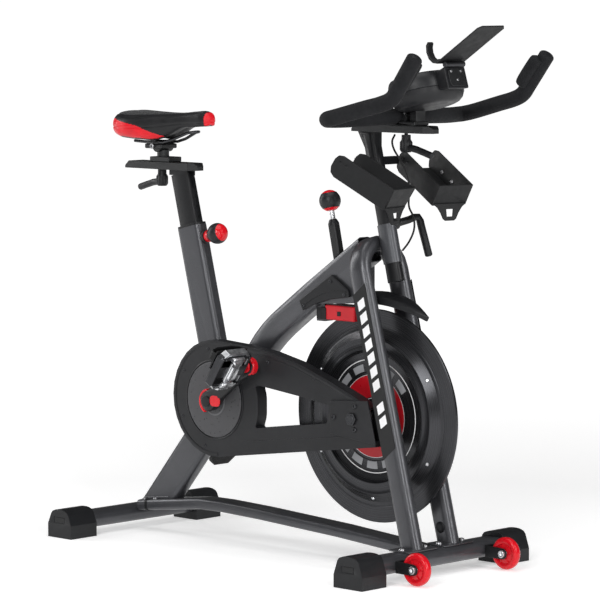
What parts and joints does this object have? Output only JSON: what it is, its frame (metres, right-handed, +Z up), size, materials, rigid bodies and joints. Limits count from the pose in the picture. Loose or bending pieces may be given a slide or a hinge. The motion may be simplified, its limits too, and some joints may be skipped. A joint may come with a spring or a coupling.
{
  "type": "indoor spin bike",
  "caption": "Indoor cycling bike: heavy flywheel in a fork, belt drive in a side guard, magnetic brake, leaning saddle and handlebar posts, dumbbell troughs and a media rack.",
  "frame": {"origin": "on the floor, under the centre of the bounding box", "axes": "+X forward, the way the rider faces; +Y to the rider's left; +Z up"},
  "size_m": [1.129, 0.54, 1.1748],
  "materials": {
    "frame_paint": "satin",
    "black_plastic": "matte",
    "guard_plastic": "satin",
    "disc_plastic": "matte",
    "black_steel": "satin",
    "bright_metal": "brushed",
    "flywheel_black": "satin",
    "red_plastic": "gloss",
    "red_paint": "satin",
    "black_rubber": "matte",
    "grip_foam": "matte",
    "saddle_cover": "satin"
  },
  "bodies": {
    "frame": {"main_tube": "frame_paint", "seat_tube": "frame_paint", "rear_strut": "frame_paint", "base_tube": "frame_paint", "fork_hoop": "frame_paint", "head_tube": "frame_paint", "bottom_bracket_shell": "frame_paint", "front_stabiliser": "frame_paint", "rear_stabiliser": "frame_paint", "front_foot_right": "black_plastic", "front_foot_left": "black_plastic", "rear_foot_right": "black_plastic", "rear_foot_left": "black_plastic", "wheel_bracket_right": "black_steel", "wheel_bracket_left": "black_steel", "belt_guard_outer": "guard_plastic", "belt_guard_inner": "guard_plastic", "guard_disc": "disc_plastic", "axle_plate_right": "guard_plastic", "axle_plate_left": "frame_paint", "flywheel_axle": "bright_metal", "drive_belt": "black_rubber", "fender": "black_plastic", "brake_cover": "black_plastic", "resistance_sleeve": "black_steel", "seat_tube_collar": "black_plastic", "console_cable": "black_rubber"},
    "flywheel": {"flywheel": "flywheel_black", "flywheel_pulley": "bright_metal"},
    "crank": {"crank_axle": "bright_metal", "drive_pulley": "black_steel", "crank_arm_right": "black_steel", "crank_arm_left": "black_steel"},
    "pedal_right": {"pedal_right": "bright_metal", "toe_cage_right": "black_plastic"},
    "pedal_left": {"pedal_left": "bright_metal", "toe_cage_left": "black_plastic"},
    "wheel_right": {"transport_wheel_right": "red_plastic"},
    "wheel_left": {"transport_wheel_left": "red_plastic"},
    "magnet": {"magnet_bracket": "red_paint"},
    "brake_rod": {"resistance_rod": "bright_metal"},
    "brake_knob": {"resistance_knob": "black_plastic"},
    "pop_pin": {"pop_pin_knob": "black_plastic"},
    "seat_post": {"seat_post": "frame_paint", "seat_rail": "black_steel"},
    "seat_slider": {"seat_slider": "black_steel"},
    "saddle": {"saddle_clamp": "black_steel", "saddle": "saddle_cover", "saddle_rails": "bright_metal"},
    "seat_lever": {"seat_lever": "black_plastic"},
    "bar_post": {"handlebar_post": "frame_paint", "handlebar_rail": "black_steel", "dumbbell_holder_right": "black_plastic", "dumbbell_holder_left": "black_plastic"},
    "bars": {"handlebar_carriage": "black_steel", "handlebar": "grip_foam", "console": "black_plastic"},
    "rack": {"media_rack": "black_plastic"},
    "bar_lever": {"handlebar_lever": "black_plastic"},
    "height_lever": {"height_lever": "black_plastic"}
  },
  "joints": [
    {"name": "flywheel_spin", "type": "hinge", "parent": "frame", "child": "flywheel", "pos_m": [0.2365, 0, 0.3267], "axis": [0, 1, 0], "continuous": true},
    {"name": "crank_spin", "type": "hinge", "parent": "frame", "child": "crank", "pos_m": [-0.1845, 0, 0.331], "axis": [0, 1, 0], "continuous": true},
    {"name": "pedal_right_spin", "type": "hinge", "parent": "crank", "child": "pedal_right", "pos_m": [-0.04643, -0.172, 0.42135], "axis": [0, 1, 0], "continuous": true},
    {"name": "pedal_left_spin", "type": "hinge", "parent": "crank", "child": "pedal_left", "pos_m": [-0.32257, 0.15, 0.24065], "axis": [0, 1, 0], "continuous": true},
    {"name": "wheel_right_spin", "type": "hinge", "parent": "frame", "child": "wheel_right", "pos_m": [0.485, -0.144, 0.0362], "axis": [0, 1, 0], "continuous": true},
    {"name": "wheel_left_spin", "type": "hinge", "parent": "frame", "child": "wheel_left", "pos_m": [0.485, 0.144, 0.0362], "axis": [0, 1, 0], "continuous": true},
    {"name": "seat_height", "type": "slide", "parent": "frame", "child": "seat_post", "axis": [-0.247, 0, 0.969], "range_m": [-0.09, 0.12]},
    {"name": "seat_fore_aft", "type": "slide", "parent": "seat_post", "child": "seat_slider", "axis": [1, 0, 0], "range_m": [-0.07, 0.02]},
    {"name": "seat_lever_turn", "type": "hinge", "parent": "seat_slider", "child": "seat_lever", "pos_m": [-0.4325, 0, 0.83], "axis": [0, 0, 1], "range_deg": [-75, 75]},
    {"name": "saddle_tilt", "type": "hinge", "parent": "seat_slider", "child": "saddle", "pos_m": [-0.429, 0, 0.891], "axis": [0, 1, 0], "range_deg": [-8, 8]},
    {"name": "pop_pin_pull", "type": "slide", "parent": "frame", "child": "pop_pin", "axis": [0.969, 0, 0.247], "range_m": [0, 0.01], "stiffness_N_per_m": 800, "springref_m": -0.004},
    {"name": "bar_height", "type": "slide", "parent": "frame", "child": "bar_post", "axis": [-0.2306, 0, 0.973], "range_m": [0, 0.08], "deforming": ["console_cable"]},
    {"name": "bar_fore_aft", "type": "slide", "parent": "bar_post", "child": "bars", "axis": [1, 0, 0], "range_m": [-0.018, 0.035]},
    {"name": "bar_lever_turn", "type": "hinge", "parent": "bars", "child": "bar_lever", "pos_m": [0.3205, 0, 0.933], "axis": [0, 0, 1], "range_deg": [-75, 75]},
    {"name": "height_lever_turn", "type": "hinge", "parent": "frame", "child": "height_lever", "pos_m": [0.269, 0.023, 0.745], "axis": [0, 1, 0], "range_deg": [-25, 20]},
    {"name": "knob_press", "type": "slide", "parent": "frame", "child": "brake_rod", "axis": [-0.2164, 0, 0.9763], "range_m": [-0.008, 0], "stiffness_N_per_m": 1500, "springref_m": 0.004},
    {"name": "knob_turn", "type": "hinge", "parent": "brake_rod", "child": "brake_knob", "pos_m": [0.09661, 0, 0.78827], "axis": [-0.2164, 0, 0.9763], "range_deg": [-360, 144]},
    {"name": "magnet_tilt", "type": "hinge", "parent": "frame", "child": "magnet", "pos_m": [0.0865, 0, 0.537], "axis": [0, 1, 0], "range_deg": [-2.6, 1.1]},
    {"name": "rack_tilt", "type": "hinge", "parent": "bars", "child": "rack", "pos_m": [0.456, 0, 1.0925], "axis": [0, 1, 0], "range_deg": [-15, 25]}
  ],
  "couplings": [
    {"joint": "crank_spin", "follows": "flywheel_spin", "ratio": 0.26667},
    {"joint": "magnet_tilt", "follows": "knob_turn", "ratio": 0.00694}
  ]
}
